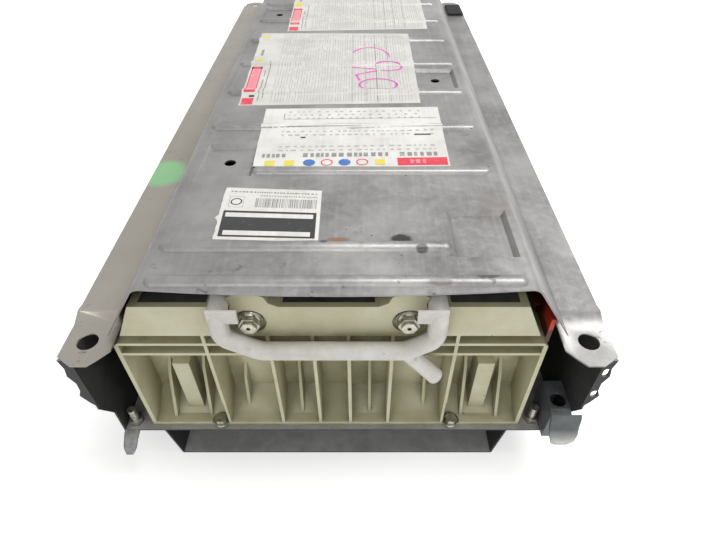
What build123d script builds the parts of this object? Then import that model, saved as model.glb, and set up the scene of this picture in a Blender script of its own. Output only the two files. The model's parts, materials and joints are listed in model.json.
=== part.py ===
from build123d import *

# Hybrid vehicle battery module: prismatic cells clamped between ribbed end plates in a pressed steel case.
#
# Frame while it is built: X across the case, Y along it, Z up. Y = 0 is the outer face of the front
# end plate, X = 0 the middle of the case, Z = 0 the underside of the cooling trough it stands on.
# The saved parts are moved along Y so that the origin is the middle of the whole case's underside.
import os
from math import atan2, degrees, hypot, radians, sin, tan

os.makedirs("parts", exist_ok=True)

# ---- driving sizes, in millimetres ----
SHEET = 1.2                 # thickness of the pressed cover
PAN_SHEET = 1.4             # thickness of the pressed lower case

MODULES = 28                # cell blocks in series
MODULE_PITCH = 19.6
MODULE_LENGTH = 275.0       # across the case, without terminals
MODULE_HEIGHT = 106.0
MODULE_WEB = 0.7            # height of the spacer ribs that keep the cooling gap
MODULE_RIBS = 7
TERMINAL_LENGTH = 5.0

PLATE_DEPTH = 30.0
PLATE_WIDTH = 282.0
PLATE_HEIGHT = 134.0
PLATE_WALL = 3.0
PLATE_SHOULDER = 20.0       # how far the top corners are cut in, to clear the sloping cover
PLATE_BAND = 27.0           # plain band along the top of the end plate
SHELF_GAP = 10.0            # height of each shallow row under the band
RIB_WALL = 2.4

DECK_HEIGHT = 35.0          # underside of the deck that the cells stand on
TROUGH_HALF = 126.0         # half width of the trough floor
TROUGH_DRAFT = 6.0
CASE_HALF = 168.0           # outer half width of the lower case walls
CASE_FRONT = 4.0            # how far the deck runs out in front of the end plate
WALL_FRONT = 15.0           # how far the side walls run out in front of it

RAIL_TOP = 145.0
RAIL_INNER = 146.0
RAIL_OUTER = 172.0
RAIL_SKIRT = 15.0           # depth of the turned down edge of the rail
DOME_TOP = 189.0
DOME_HALF = 117.0
DOME_CORNER = 9.0
LIP_BOW = 8.0               # how far the middle of the front edge bows out
LIP_FRONT = 0.5             # the ends of the dome's front edge stand this far in front of the plate

EAR_DROP = 6.0
EAR_FRONT = 20.0            # ear tip in front of the end plate
EAR_HOLE_X = 160.0
EAR_HOLE_Y = -1.0
EAR_HOLE_R = 6.75
EAR_STEP = 13.0             # where the ear meets its step
EAR_SLOPE = 8.0
EAR_INNER = 143.0

BEAD_R = 6.0
BEAD_RISE = 2.8
BEAD_HALF = 106.0
BEAD_PITCH = 68.5
FIRST_BEAD = 121.0

ROD_X = 49.0
ROD_Z = 157.0
ROD_R = 3.0
BOSS_R = 13.0
NUT_FLANGE_R = 8.0
NUT_HEX_R = 5.9

VENT_X = 65.5
VENT_R = 6.0
VENT_RAIL_Z = 163.0
VENT_OVER_Z = 172.5
VENT_CROSS_Z = 138.6
VENT_JOINT = 22.0           # where the cross tube meets the rails, behind the first cell block's face
NOZZLE_R = 4.0
VENT_FRONT = 8.0            # centre of the cross tube in front of the end plate

PAD_SPANS = ((-116.0, -74.0), (-28.0, 28.0), (74.0, 116.0))
PAD_FRONT = 4.0
PAD_LOW = 151.0

END_BOLT_X = (-88.5, 88.5)
END_BOLT_Y = 2.0
END_BOLT_R = 3.0
FOOT_SHEET = 2.0            # thickness of the end plate's foot under the bolt heads
BEARER_DEPTH = 34.0         # strip across the trough that each end plate stands on

FRAME_DEPTH = 13.0          # how far the busbar frames stand out from the cells
TONGUE_FRONT = 8.0          # end of the tongue that reaches past the front end plate

STACK_OFFSET = -5.0         # the stack stands a little left of the middle, room for the leads is right
BAY_LENGTH = 92.0           # space for the relays behind the rear end plate
CLEAR = 0.3

TRAY_HALF = 137.0           # half width of the relay bay's tray
TRAY_SHEET = 1.6
JUNCTION_X = (-112.0, 20.0)
CONTROL_X = (32.0, 126.0)
LEAD_R = 4.0
PAD_LENGTH = 46.0
PAD_THICK = 3.0

FLANGE_OUT = 174.5          # torn flanges at the mouth of the case
FLANGE_WINDOWS = ((170.6, 125.0, 8.0, 4.0), (170.2, 101.5, 7.0, 4.4))
TONGUE_INNER = -157.0       # tongue of the deck in the left hand corner
TONGUE_OUT = 17.0

PEDESTAL_TOP = 69.0
PEDESTAL_INNER = 152.0
PEDESTAL_BACK = 18.0
PEDESTAL_HOLE_Y = 1.5
LIP_OUT = 24.0              # reach of the pedestal's front lip
LIP_SIDE = 174.0
PEDESTAL_HOLE_R = 5.8
PEDESTAL_SHEET = 1.6
STUD_PLACES = ((146.8, 5.0), (-160.0, 3.0))

OUTLET_START = (VENT_X - 18, -VENT_FRONT, VENT_CROSS_Z)
OUTLET_DIR = (0.62, 0.0, -0.78)
OUTLET_LENGTH = 34.0

# ---- places worked out from them ----
DECK = DECK_HEIGHT + PAN_SHEET
STACK_START = PLATE_DEPTH
STACK_END = STACK_START + MODULES * MODULE_PITCH
REAR_PLATE = STACK_END + PLATE_DEPTH
CASE_END = REAR_PLATE + BAY_LENGTH
MIDDLE_Y = CASE_END / 2
PLATE_TOP = DECK + PLATE_HEIGHT
MODULE_TOP = DECK + MODULE_HEIGHT
EAR_TOP = RAIL_TOP - EAR_DROP
DOME_WALL = hypot(RAIL_INNER - DOME_HALF, DOME_TOP - RAIL_TOP)
WALL_ANGLE = atan2(DOME_TOP - RAIL_TOP, RAIL_INNER - DOME_HALF)


def save(shape, name):
    """Write one sub-part as its own STEP file, in the frame of the finished object."""
    placed = Pos(0, -MIDDLE_Y, 0) * shape
    placed.label = name
    export_step(placed, os.path.join("parts", name + ".step"))


def block(x0, x1, y0, y1, z0, z1):
    """A box between two corners."""
    return Pos((x0 + x1) / 2, (y0 + y1) / 2, (z0 + z1) / 2) * Box(x1 - x0, y1 - y0, z1 - z0)


def section_y(points, y0, y1):
    """A closed outline in X and Z, run along Y from y0 to y1."""
    face = make_face(Polyline(*[(x, 0, z) for x, z in points], close=True))
    return Pos(0, y0, 0) * extrude(face, y1 - y0, dir=(0, 1, 0))


def section_x(points, x0, x1):
    """A closed outline in Y and Z, run along X from x0 to x1."""
    face = make_face(Polyline(*[(0, y, z) for y, z in points], close=True))
    return Pos(x0, 0, 0) * extrude(face, x1 - x0, dir=(1, 0, 0))


def rod_y(x, z, radius, y0, y1):
    """A round bar along Y."""
    return Pos(x, (y0 + y1) / 2, z) * Rot(90, 0, 0) * Cylinder(radius, y1 - y0)


def rod_z(x, y, radius, z0, z1):
    """A round bar along Z."""
    return Pos(x, y, (z0 + z1) / 2) * Cylinder(radius, z1 - z0)


def rod_x(y, z, radius, x0, x1):
    """A round bar along X."""
    return Pos((x0 + x1) / 2, y, z) * Rot(0, 90, 0) * Cylinder(radius, x1 - x0)


def both_sides(shape):
    """The shape and its mirror image across the middle of the case."""
    return [shape, mirror(shape, Plane.YZ)]


def far_copy(shape):
    """The shape turned to the other end of the case."""
    return mirror(shape, Plane.XZ.offset(-MIDDLE_Y))


def both_ends(shape):
    return [shape, far_copy(shape)]


def joined(first, others):
    """One solid from a first shape and the shapes that join it."""
    result = first
    for other in others:
        result = result + other
    return result


# ---- lower case ----
def pan_outline(inset):
    """The case's open outline, taken in by a sheet thickness for its inner face."""
    deck = DECK_HEIGHT + inset
    wall = CASE_HALF - inset
    lean = inset * TROUGH_DRAFT / DECK_HEIGHT
    bottom = TROUGH_HALF - inset + lean
    shoulder = TROUGH_HALF + TROUGH_DRAFT - inset + lean
    top = RAIL_TOP - SHEET + (1.0 if inset else 0.0)
    outline = []
    for side in (1, -1):
        half = [(side * bottom + STACK_OFFSET, inset), (side * shoulder + STACK_OFFSET, deck),
                (side * wall, deck), (side * wall, top)]
        outline += half if side > 0 else half[::-1]
    return outline


def front_flange(side):
    """Torn edge of the side wall, bent outwards at the mouth of the case."""
    wall = CASE_HALF - PAN_SHEET
    torn = [(wall, EAR_TOP - SHEET), (FLANGE_OUT, EAR_TOP - SHEET), (FLANGE_OUT - 1.5, 129), (FLANGE_OUT, 121),
            (FLANGE_OUT - 3, 113), (FLANGE_OUT - 2.5, 105), (FLANGE_OUT, 99), (FLANGE_OUT - 4, 91), (wall, 85)]
    flange = section_y(torn, -WALL_FRONT, -WALL_FRONT + PAN_SHEET)
    if side < 0:
        return mirror(flange, Plane.YZ)
    for x, z, height, width in FLANGE_WINDOWS:
        slot = Pos(x, -WALL_FRONT, z) * Rot(90, 0, 0) * Rot(0, 0, 90) * extrude(SlotOverall(height, width), 5, both=True)
        flange -= slot
    return flange


def lower_case():
    front = -WALL_FRONT
    length = CASE_END + 2 * WALL_FRONT
    pan = section_y(pan_outline(0), front, front + length)
    pan -= section_y(pan_outline(PAN_SHEET), front - 1, front + length + 1)
    trim = []
    notch = [(front - 1, -1), (-CASE_FRONT, -1), (-CASE_FRONT, DECK + 24), (front - 1, DECK + 48)]
    trim += both_ends(section_x(notch, -CASE_HALF - 1, CASE_HALF + 1))
    ear_under = EAR_TOP - SHEET
    rail_under = RAIL_TOP - SHEET
    relief = [(front - 1, RAIL_TOP), (front - 1, ear_under), (EAR_STEP, ear_under),
              (EAR_STEP + EAR_SLOPE, rail_under), (EAR_STEP + EAR_SLOPE, RAIL_TOP)]
    trim += both_ends(section_x(relief, -CASE_HALF - 1, CASE_HALF + 1))
    for x, y in STUD_PLACES:
        trim += both_ends(rod_z(x, y, 3.0 + CLEAR, DECK_HEIGHT - 1, DECK + 1))
    for side in (-1, 1):
        for flange in both_ends(front_flange(side)):
            pan = pan + flange
    tongue = block(-CASE_HALF, TONGUE_INNER, -TONGUE_OUT, -CASE_FRONT + 2, DECK_HEIGHT, DECK)
    tongue = chamfer(tongue.edges().filter_by(Axis.Z).sort_by(Axis.Y)[:2], 4)
    for shape in both_ends(tongue):
        pan = pan + shape
    shoulder = TROUGH_HALF + TROUGH_DRAFT
    bearer = block(STACK_OFFSET - shoulder - 2, STACK_OFFSET + shoulder + 2, -CASE_FRONT, BEARER_DEPTH, DECK_HEIGHT, DECK)
    pan = pan + bearer + mirror(bearer, Plane.XZ.offset(-REAR_PLATE / 2))
    for x in END_BOLT_X:
        hole = rod_z(x + STACK_OFFSET, END_BOLT_Y, END_BOLT_R, DECK_HEIGHT - 2, DECK + 1)
        trim += [hole, mirror(hole, Plane.XZ.offset(-REAR_PLATE / 2))]
    for shape in trim:
        pan -= shape
    for count in range(1, 6):
        y = count * CASE_END / 6
        half = TROUGH_HALF - 14
        drop = PAN_SHEET - 9
        groove = rod_x(y, drop, 12, STACK_OFFSET - half, STACK_OFFSET + half)
        hollow = rod_x(y, drop, 12 - PAN_SHEET, STACK_OFFSET - half + PAN_SHEET, STACK_OFFSET + half - PAN_SHEET)
        pan = pan + (groove & block(-CASE_HALF, CASE_HALF, y - 20, y + 20, 0, 20))
        pan -= hollow & block(-CASE_HALF, CASE_HALF, y - 20, y + 20, -20, 20)
    return pan


# ---- cover ----
def dome_outline(inset):
    """The raised middle of the cover, with its inner face taken in by a sheet thickness."""
    side = inset / sin(WALL_ANGLE)
    corner = inset * tan(WALL_ANGLE / 2)
    top = DOME_TOP - inset
    slope = (RAIL_INNER - DOME_HALF) / (DOME_TOP - RAIL_TOP)
    low = RAIL_TOP - SHEET - (1.0 if inset else 0.0)
    foot = RAIL_INNER - side + (slope * (RAIL_TOP - low) if inset else 0.0)
    half = [(foot, low), (DOME_HALF - corner, top)]
    return half + [(-x, z) for x, z in reversed(half)]


def rounded_dome(inset, y0, y1):
    solid = section_y(dome_outline(inset), y0, y1)
    edges = [e for e in solid.edges() if abs(e.center().Z - (DOME_TOP - inset)) < 0.1 and e.length > 300]
    return fillet(edges, DOME_CORNER - inset)


def side_profile(lower):
    """Rail and both ears seen from the side, one sheet thick."""
    step = EAR_STEP
    far = CASE_END
    line = [
        (-EAR_FRONT, EAR_TOP), (step, EAR_TOP), (step + EAR_SLOPE, RAIL_TOP),
        (far - step - EAR_SLOPE, RAIL_TOP), (far - step, EAR_TOP), (far + EAR_FRONT, EAR_TOP),
    ]
    return line + [(y, z - lower) for y, z in reversed(line)]


def ear_plan():
    """Plan of one rail with its rounded ears, as a tall solid that trims the pressed strip."""
    wide = RAIL_OUTER + 2.5
    tip = -EAR_FRONT
    outline = [
        (EAR_INNER, -8), (EAR_INNER + 6, tip + 5), (EAR_HOLE_X - 6, tip), (EAR_HOLE_X + 4, tip),
        (wide, tip + 7), (wide, 12), (RAIL_OUTER, 26), (RAIL_OUTER, MIDDLE_Y), (EAR_INNER, MIDDLE_Y),
    ]
    face = make_face(Polyline(*[(x, y) for x, y in outline], close=True))
    near = Pos(0, 0, EAR_TOP - 20) * extrude(face, 40)
    return near + far_copy(near)


def side_rail():
    strip = section_x(side_profile(SHEET), EAR_INNER, RAIL_OUTER + 4) & ear_plan()
    skirt = block(RAIL_OUTER - SHEET, RAIL_OUTER, 20, CASE_END - 20, RAIL_TOP - RAIL_SKIRT, RAIL_TOP - SHEET / 2)
    rail = strip + skirt
    for hole in both_ends(rod_z(EAR_HOLE_X, EAR_HOLE_Y, EAR_HOLE_R, EAR_TOP - 5, EAR_TOP + 5)):
        rail -= hole
    return rail


def bead(y, x0, x1, radius):
    """One rounded bead across the cover, with ball ends."""
    z = DOME_TOP + BEAD_RISE - BEAD_R
    bar = rod_x(y, z, radius, x0, x1)
    for x in (x0, x1):
        bar = bar + Pos(x, y, z) * Sphere(radius)
    return bar


def bead_places():
    """Where the beads run: (place along the case, left end, right end)."""
    places = [(3.0, -BEAD_HALF, BEAD_HALF), (34.0, -BEAD_HALF, 66.0)]
    y = FIRST_BEAD
    while y < CASE_END - 60:
        places.append((y, -BEAD_HALF + (44 if y == FIRST_BEAD else 0), BEAD_HALF))
        y += BEAD_PITCH
    places.append((CASE_END - 34.0, -BEAD_HALF, BEAD_HALF))
    places.append((CASE_END - 3.0, -BEAD_HALF, BEAD_HALF))
    return places


def recess_places():
    """Sunk pads in the cover: (x, y, width, length, hole radius)."""
    return [
        (91.5, 48.0, 34.0, 42.0, 0.0),
        (-86.5, 150.0 - 13.0, 34.0, 40.0, 4.4),
        (88.0, 333.0 - 42.0, 34.0, 40.0, 4.4),
        (-90.0, 566.0 - 69.0, 34.0, 40.0, 4.4),
    ]


def recess(x, y, width, length, sink, grow):
    """A sunk pad with sloping sides."""
    top = Pos(x, y, DOME_TOP + 0.01) * Rectangle(width + 6 + grow, length + 6 + grow)
    low = Pos(x, y, DOME_TOP - sink) * Rectangle(width + grow, length + grow)
    return loft([low, top])


def top_cover():
    dome = rounded_dome(0, -20, CASE_END + 20)
    hollow = rounded_dome(SHEET, -21, CASE_END + 21)
    for x, y, width, length, hole in recess_places():
        dome -= recess(x, y, width, length, 3.0, 0)
        hollow -= recess(x, y, width, length, 3.0 + SHEET, 2 * SHEET)
    beads = [(y, x0, x1) for y, x0, x1 in bead_places()]
    for y, x0, x1 in beads:
        dome = dome + bead(y, x0, x1, BEAD_R)
        hollow = hollow + bead(y, x0, x1, BEAD_R - SHEET)
    cover = dome - hollow
    chord = 2 * RAIL_INNER
    radius = (chord ** 2 / 4 + LIP_BOW ** 2) / (2 * LIP_BOW)
    keep = rod_z(0, radius - LIP_BOW - LIP_FRONT, radius, RAIL_TOP - 30, DOME_TOP + 20)
    keep = keep + block(-200, 200, 20, MIDDLE_Y + 1, RAIL_TOP - 30, DOME_TOP + 20)
    keep = keep & block(-200, 200, -30, MIDDLE_Y, RAIL_TOP - 30, DOME_TOP + 20)
    cover = cover & (keep + far_copy(keep))
    for x, y, width, length, hole in recess_places():
        if hole:
            cover -= rod_z(x, y, hole, DOME_TOP - 10, DOME_TOP + 1)
    rail = side_rail()
    for side in both_sides(rail):
        cover = cover + side
    return cover


# ---- end plates ----
def plate_outline(inset):
    """Front view of the plate: chamfered top corners."""
    half = PLATE_WIDTH / 2 - inset
    top = PLATE_TOP - inset
    low = DECK + inset
    ear = EAR_TOP - SHEET - inset
    right = [(half, low), (half, ear - 5), (half - 4.5, ear - 0.8), (half - PLATE_SHOULDER, top)]
    return right + [(-x, z) for x, z in reversed(right)]


def pocket(x0, x1, z0, z1, depth):
    return block(x0, x1, -1, depth, z0, z1)


def end_plate():
    plate = section_y(plate_outline(0), 0, PLATE_DEPTH)
    for side in (-1, 1):
        x = side * ROD_X
        boss = section_y([(x - BOSS_R - 6, PLATE_TOP), (x + BOSS_R + 6, PLATE_TOP), (x + BOSS_R, PLATE_TOP + 3),
                          (x + BOSS_R - 2, PLATE_TOP + 8), (x + BOSS_R - 6, PLATE_TOP + 10),
                          (x - BOSS_R + 6, PLATE_TOP + 10), (x - BOSS_R + 2, PLATE_TOP + 8),
                          (x - BOSS_R, PLATE_TOP + 3)], 0, PLATE_DEPTH)
        plate = plate + boss
    half = PLATE_WIDTH / 2 - PLATE_WALL
    band = PLATE_TOP - PLATE_BAND
    shelf = 4.0
    rows = [(band - SHELF_GAP + RIB_WALL, band, 8.0), (band - 2 * SHELF_GAP + RIB_WALL, band - SHELF_GAP, 16.0)]
    mains = [-81.5, -40.0, -11.5, 11.5, 40.0, 81.5]
    inner = [-half] + mains + [half]
    for z0, z1, depth in rows:
        for left, right in zip(inner, inner[1:]):
            x0 = left + (RIB_WALL / 2 if left != -half else 0)
            x1 = right - (RIB_WALL / 2 if right != half else 0)
            plate -= pocket(x0, x1, z0, z1, depth)
    deep = PLATE_DEPTH - PLATE_WALL
    top = band - 2 * SHELF_GAP
    for left, right in zip(inner, inner[1:]):
        x0 = left + (RIB_WALL / 2 if left != -half else 0)
        x1 = right - (RIB_WALL / 2 if right != half else 0)
        outline = [(-1, DECK + shelf), (8, DECK + shelf), (deep, DECK + 16), (deep, top), (-1, top)]
        plate -= section_x(outline, x0, x1)
    for side in (-1, 1):
        plate = plate + gusset(side * 68.0, RIB_WALL, 34.0, 12.0)
        plate = plate + gusset(side * 26.0, RIB_WALL, 50.0, 8.0)
        plate = plate + block(side * 109 - 6, side * 109 + 6, 12, deep, DECK + 6, DECK + 62)
        plate = plate + gusset(side * 97.0, RIB_WALL, 48.0, 6.0)
        plate = plate + gusset(side * 124.0, RIB_WALL, 40.0, 4.0)
        x = side * ROD_X
        plate -= rod_y(x, ROD_Z, NUT_FLANGE_R + 2.2, -1, 3.0)
        plate -= rod_y(x, ROD_Z, ROD_R + 0.2, -1, PLATE_DEPTH + 1)
        v = side * VENT_X
        plate -= rod_y(v, VENT_OVER_Z, VENT_R + 0.6, -1, PLATE_DEPTH + 1)
    for x0, x1 in PAD_SPANS:
        plate -= block(x0, x1, PAD_FRONT, PLATE_DEPTH + 1, PAD_LOW, PLATE_TOP + 1)
    for x in END_BOLT_X:
        plate -= rod_z(x, END_BOLT_Y, 6.6, DECK + FOOT_SHEET, DECK + 30)
        plate -= rod_z(x, END_BOLT_Y, END_BOLT_R, DECK - 1, DECK + FOOT_SHEET + 1)
    return plate


def end_pads():
    """Black pads let into the top of an end plate, level with it."""
    pads = []
    for x0, x1 in PAD_SPANS:
        pad = block(x0 + CLEAR, x1 - CLEAR, PAD_FRONT + CLEAR, PLATE_DEPTH, PAD_LOW, PLATE_TOP - 1.5)
        front = pad.edges().filter_by(Axis.X).sort_by(Axis.Y)[:2].sort_by(Axis.Z)[-1]
        pads.append(fillet(front, 2.5))
    return Compound(children=pads)


def gusset(x, wall, height, reach):
    """A tapered upright rib standing on the plate's lower shelf."""
    deep = PLATE_DEPTH - PLATE_WALL + 0.5
    outline = [(reach, DECK + 2), (deep, DECK + 2), (deep, DECK + height + 12), (deep - 8, DECK + height)]
    return section_x(outline, x - wall / 2, x + wall / 2)




# ---- cells ----
def battery_module(index):
    y = STACK_START + (index + 0.5) * MODULE_PITCH
    body = MODULE_PITCH / 2 - MODULE_WEB
    half = MODULE_LENGTH / 2
    cell = block(-half, half, y - body, y + body, DECK, MODULE_TOP)
    for rib in range(MODULE_RIBS):
        x = -half + 4 + rib * (MODULE_LENGTH - 8) / (MODULE_RIBS - 1)
        cell = cell + block(x - 2.5, x + 2.5, y - MODULE_PITCH / 2, y + MODULE_PITCH / 2, DECK + 6, MODULE_TOP - 6)
    for side in (-1, 1):
        end = side * (half + TERMINAL_LENGTH / 2)
        cell = cell + Pos(end, y, MODULE_TOP - 22) * Rot(0, 90, 0) * Cylinder(4.0, TERMINAL_LENGTH)
    return cell


# ---- clamping ----
def tie_rod(side):
    return rod_y(side * ROD_X, ROD_Z, ROD_R, 3.0, REAR_PLATE - 3.0)


def flange_nut(x):
    """Flanged nut on the end of a tie rod, with the smaller hexagon of the stud standing out of it."""
    seat = 3.0
    washer = rod_y(x, ROD_Z, NUT_FLANGE_R, seat - 1.6, seat)
    cone = Pos(x, seat - 2.6, ROD_Z) * Rot(90, 0, 0) * Cone(NUT_FLANGE_R - 0.4, NUT_HEX_R + 0.6, 2.0)
    outer = hexagon_y(x, ROD_Z, NUT_HEX_R + 1.0, seat - 7.0, seat - 2)
    inner = hexagon_y(x, ROD_Z, NUT_HEX_R - 0.9, seat - 9.0, seat - 6.5)
    nut = joined(washer, [cone, outer, inner])
    return nut - rod_y(x, ROD_Z, 1.3, seat - 10, seat - 7)


def hexagon_y(x, z, radius, y0, y1):
    face = Plane.XZ * RegularPolygon(radius, 6)
    solid = extrude(face, y1 - y0, dir=(0, 1, 0))
    return Pos(x, y0, z) * solid


def tie_rod_nuts():
    nuts = []
    for x in (-ROD_X, ROD_X):
        near = flange_nut(x)
        nuts += [near, mirror(near, Plane.XZ.offset(-REAR_PLATE / 2))]
    return Compound(children=nuts)


# ---- vent tubes ----
def tube_along(points, radii, radius):
    path = FilletPolyline(*points, radius=radii)
    start = path @ 0
    section = Plane(origin=start, z_dir=path % 0) * Circle(radius)
    return sweep(section, path=path)


def nozzle(index):
    """Short branch from a vent tube down to the vent of one cell block; they alternate from side to side."""
    y = STACK_START + (index + 0.5) * MODULE_PITCH
    x = VENT_X if index % 2 else -VENT_X
    return rod_z(x, y, NOZZLE_R, MODULE_TOP, VENT_RAIL_Z)


def vent_rail(side):
    rail = rod_y(side * VENT_X, VENT_RAIL_Z, VENT_R, STACK_START + VENT_JOINT, STACK_END - 2.0)
    for index in range(1, MODULES):
        if (index % 2 == 1) == (side > 0):
            rail = rail + nozzle(index)
    return rail


def vent_cross_tube():
    y = -VENT_FRONT
    back = STACK_START + VENT_JOINT
    points = [
        (-VENT_X, back, VENT_RAIL_Z), (-VENT_X, back - 5, VENT_RAIL_Z), (-VENT_X, back - 17, VENT_OVER_Z),
        (-VENT_X, y, VENT_OVER_Z), (-VENT_X, y, 152.0), (-VENT_X + 22, y, VENT_CROSS_Z),
        (VENT_X - 18, y, VENT_CROSS_Z), (VENT_X, y, 150.0), (VENT_X, y, VENT_OVER_Z),
        (VENT_X, back - 17, VENT_OVER_Z), (VENT_X, back - 5, VENT_RAIL_Z), (VENT_X, back, VENT_RAIL_Z),
    ]
    main = tube_along(points, [7, 7, 8, 10, 14, 14, 10, 8, 7, 7], VENT_R)
    for side in (-1, 1):
        x = side * (VENT_X + 2)
        main = main + block(x - 9 - side * 6, x + 9 - side * 6, y - 3, y - 1, VENT_OVER_Z - 5, VENT_OVER_Z + 5)
    main = main + nozzle(0)
    return main + outlet_stub(VENT_R - 0.4, 0) - outlet_stub(3.6, 12)


def outlet_stub(radius, start):
    origin = tuple(p + start * d for p, d in zip(OUTLET_START, OUTLET_DIR))
    face = Plane(origin=origin, z_dir=OUTLET_DIR) * Circle(radius)
    return extrude(face, OUTLET_LENGTH - start + (1 if start else 0), dir=OUTLET_DIR)


# ---- busbars ----
def busbar_frame(side):
    """Orange insulating channel that carries the busbars along one side."""
    inner = MODULE_LENGTH / 2
    low_z = MODULE_TOP - 38
    top_z = MODULE_TOP - 1
    y0 = STACK_START + CLEAR
    y1 = STACK_END - CLEAR
    plate = block(inner, inner + 2, y0, y1, low_z, top_z)
    top = block(inner, inner + FRAME_DEPTH, y0, y1, top_z - 2, top_z)
    low = block(inner, inner + FRAME_DEPTH, y0, y1, low_z, low_z + 2)
    frame = joined(plate, [top, low])
    if side > 0:
        outer = PLATE_WIDTH / 2 + CLEAR
        frame = frame + block(outer, outer + 3, TONGUE_FRONT, y0 + 6, top_z - 14, top_z)
        frame = frame + block(outer, outer + 3, TONGUE_FRONT, y0 - 4, top_z - 2, top_z + 8.5)
    for index in range(MODULES):
        y = STACK_START + (index + 0.5) * MODULE_PITCH
        frame -= block(inner - 1, inner + 3, y - 5, y + 5, MODULE_TOP - 27, MODULE_TOP - 17)
    for index in range(1, MODULES):
        y = STACK_START + index * MODULE_PITCH
        if (index + (0 if side > 0 else 1)) % 2 == 0:
            frame = frame + block(inner + 1, inner + FRAME_DEPTH - 1, y - 0.8, y + 0.8, low_z + 1, top_z - 1)
    return frame if side > 0 else mirror(frame, Plane.YZ)


def busbars(side):
    """Copper links, each joining two neighbouring cells."""
    inner = MODULE_LENGTH / 2 + TERMINAL_LENGTH
    bars = []
    first = 0 if side > 0 else 1
    for index in range(first, MODULES - 1, 2):
        y = STACK_START + (index + 1) * MODULE_PITCH
        bar = block(inner, inner + 1.6, y - MODULE_PITCH / 2 - 6, y + MODULE_PITCH / 2 + 6, MODULE_TOP - 29, MODULE_TOP - 15)
        for end in (-1, 1):
            nut = Pos(inner + 1.6, y + end * MODULE_PITCH / 2, MODULE_TOP - 22) * Rot(0, 90, 0)
            bar = bar + nut * extrude(RegularPolygon(4.6, 6), 4, both=False)
        bars.append(bar)
    solid = Compound(children=bars)
    return solid if side > 0 else mirror(solid, Plane.YZ)


def shifted(shape):
    """Place a piece of the stack, which stands a little left of the case's middle."""
    return Pos(STACK_OFFSET, 0, 0) * shape


# ---- corner pedestals, studs, bolts ----
def pedestal():
    """Deep drawn mount on the deck in the right hand corner, its front rolled over into an outward lip."""
    wall = CASE_HALF - PAN_SHEET
    sheet = PEDESTAL_SHEET
    top = PEDESTAL_TOP
    over = [(PEDESTAL_BACK, top), (-6, top), (-10.5, top - 2), (-13, top - 6), (-14.5, top - 12), (-18, top - 16),
            (-LIP_OUT, top - 17.5)]
    under = [(-LIP_OUT, top - 17.5 - sheet), (-17.2, top - 16 - sheet), (-13, top - 13), (-11.4, top - 7),
             (-9.6, top - 3.4), (-5.5, top - sheet), (PEDESTAL_BACK, top - sheet)]
    skin = section_x(over + under, PEDESTAL_INNER, LIP_SIDE)
    skin = skin & Pos(0, 0, DECK) * extrude(make_face(Polyline(*lip_plan(), close=True)), 50)
    skin -= block(wall, 200, -10, 60, DECK, top + 5)
    side = block(PEDESTAL_INNER, PEDESTAL_INNER + sheet, -8, PEDESTAL_BACK, DECK, top - sheet / 2)
    back = block(PEDESTAL_INNER, wall, PEDESTAL_BACK - sheet, PEDESTAL_BACK, DECK, top - sheet / 2)
    apron = block(PEDESTAL_INNER, wall, -8 - sheet, -8, DECK, top - 3)
    body = joined(skin, [side, back, apron])
    x = (PEDESTAL_INNER + wall) / 2
    return body - rod_z(x, PEDESTAL_HOLE_Y, PEDESTAL_HOLE_R, top - 5, top + 1)


def lip_plan():
    """Plan of the pedestal's lip, with its outer corner rounded."""
    y = -LIP_OUT
    return [(PEDESTAL_INNER, PEDESTAL_BACK), (PEDESTAL_INNER, y + 1), (PEDESTAL_INNER + 3, y), (LIP_SIDE - 11, y),
            (LIP_SIDE - 5, y + 2), (LIP_SIDE - 1.5, y + 6), (LIP_SIDE, y + 12), (LIP_SIDE, PEDESTAL_BACK)]


def corner_stud(x, y):
    shank = rod_z(x, y, 3.0, DECK_HEIGHT - 4, DECK + 17)
    nut = Pos(x, y, DECK) * extrude(RegularPolygon(5.0, 6), 5.5)
    foot = rod_z(x, y, 5.0, DECK_HEIGHT - 4, DECK_HEIGHT)
    return joined(shank, [nut, foot])


def corner_studs():
    studs = []
    for x, y in STUD_PLACES:
        studs += both_ends(corner_stud(x, y))
    return Compound(children=studs)


def end_plate_bolts():
    """Flanged bolts that hold the feet of the end plates down to the bearers of the case."""
    bolts = []
    base = DECK + FOOT_SHEET
    for x in END_BOLT_X:
        flange = rod_z(x, END_BOLT_Y, 5.5, base, base + 1.4)
        head = Pos(x, END_BOLT_Y, base + 1.4) * extrude(RegularPolygon(4.6, 6), 4.0)
        bolt = joined(flange, [head, rod_z(x, END_BOLT_Y, END_BOLT_R, DECK_HEIGHT - 1.4, base)])
        bolts += [bolt, mirror(bolt, Plane.XZ.offset(-REAR_PLATE / 2))]
    return Compound(children=bolts)


# ---- relay bay behind the rear end plate ----
def equipment_tray():
    """Folded plate that spans the trough and carries the relays."""
    y0 = REAR_PLATE + 4
    y1 = CASE_END - 6
    tray = block(-TRAY_HALF, TRAY_HALF, y0, y1, DECK, DECK + TRAY_SHEET)
    for y in (y0, y1 - TRAY_SHEET):
        tray = tray + block(-TRAY_HALF, TRAY_HALF, y, y + TRAY_SHEET, DECK, DECK + 8)
    return tray


def housing(x0, x1, height, ribs):
    """Closed moulded housing with a stepped lid, standing on the tray."""
    y0 = REAR_PLATE + 12
    y1 = CASE_END - 14
    base = DECK + TRAY_SHEET
    body = block(x0, x1, y0, y1, base, base + height)
    body = chamfer(body.edges().filter_by(Axis.Z), 4)
    lid = block(x0 - 1.5, x1 + 1.5, y0 - 1.5, y1 + 1.5, base + height * 0.72, base + height * 0.78)
    body = body + lid
    for count in range(ribs):
        x = x0 + (count + 1) * (x1 - x0) / (ribs + 1)
        body = body + block(x - 1, x + 1, y0 + 6, y1 - 6, base + height - 1, base + height + 3)
    return body


def junction_block():
    return housing(*JUNCTION_X, 92.0, 5)


def control_unit():
    return housing(*CONTROL_X, 64.0, 3)


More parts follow.
